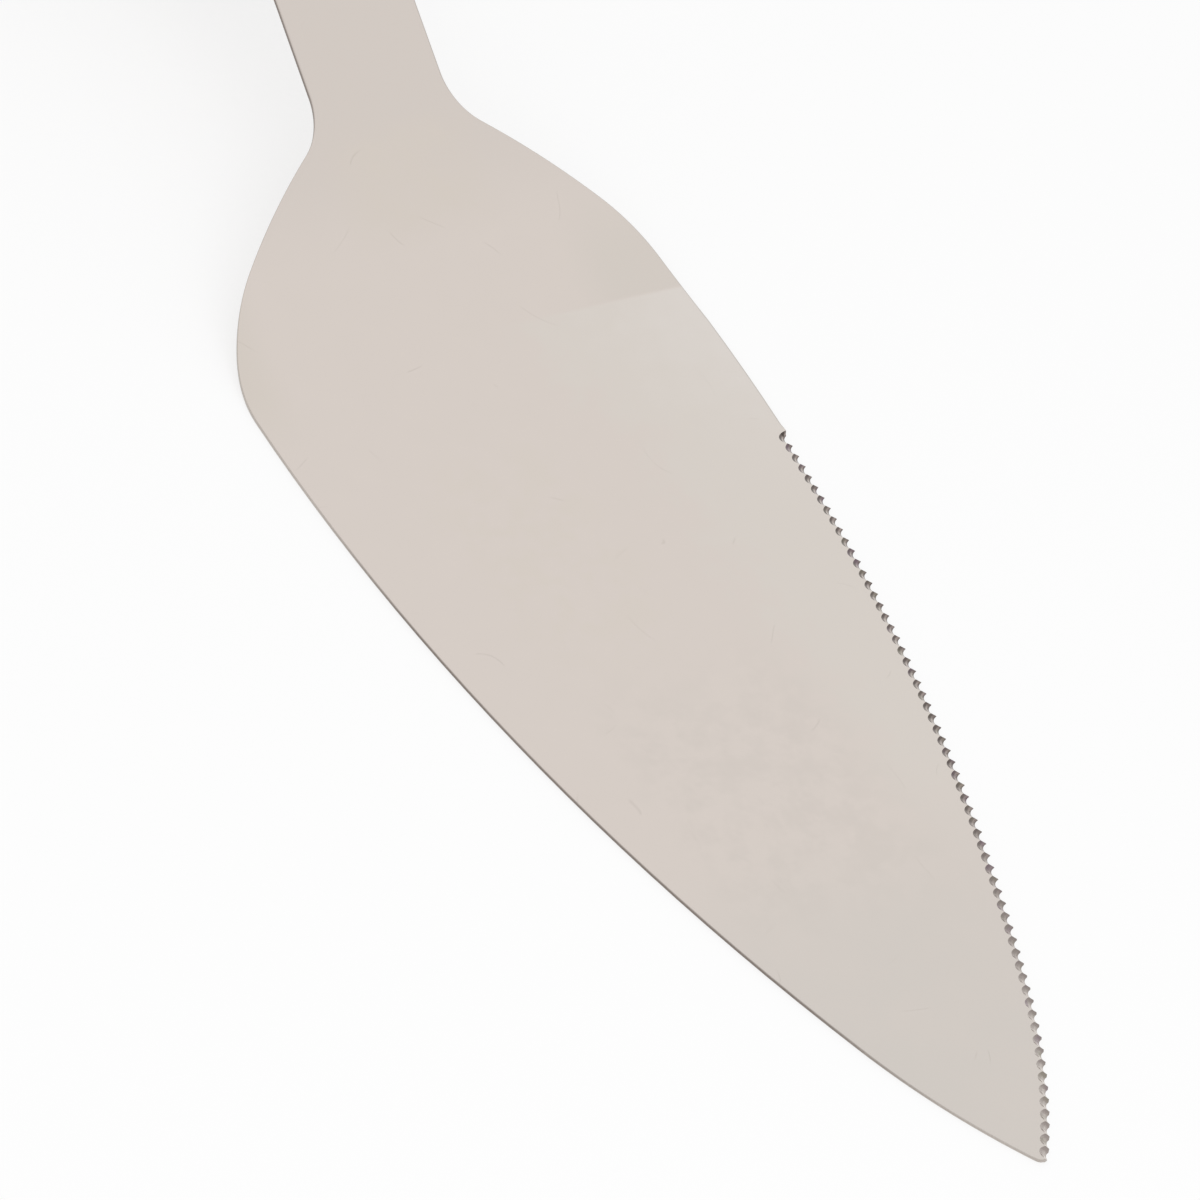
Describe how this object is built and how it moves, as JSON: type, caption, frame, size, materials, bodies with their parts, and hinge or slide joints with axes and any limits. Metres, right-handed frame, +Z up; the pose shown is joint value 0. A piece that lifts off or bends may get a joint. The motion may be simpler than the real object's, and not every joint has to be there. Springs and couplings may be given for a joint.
{
  "type": "cake server",
  "caption": "Cake server with a pointed sheet-steel blade, serrated along one side, a cranked neck and a full tang between riveted handle scales.",
  "frame": {"origin": "middle of the flat blade's underside, halfway between the crank line and the tip", "axes": "+X along the blade to its tip, +Y to the serrated side, +Z up from the underside"},
  "size_m": [0.2938, 0.06, 0.0282],
  "materials": {
    "blade_steel": "polished stainless steel, close to a mirror, with fine hairlines",
    "handle_wood": "oiled dark hardwood, satin",
    "rivet_steel": "stainless steel ground flush with the wood, satin"
  },
  "bodies": {
    "root": {"blade": "blade_steel", "upper_scale": "handle_wood", "lower_scale": "handle_wood", "front_rivet_sleeve": "rivet_steel", "front_rivet_post": "rivet_steel", "middle_rivet_sleeve": "rivet_steel", "middle_rivet_post": "rivet_steel", "rear_rivet_sleeve": "rivet_steel", "rear_rivet_post": "rivet_steel"}
  },
  "joints": []
}
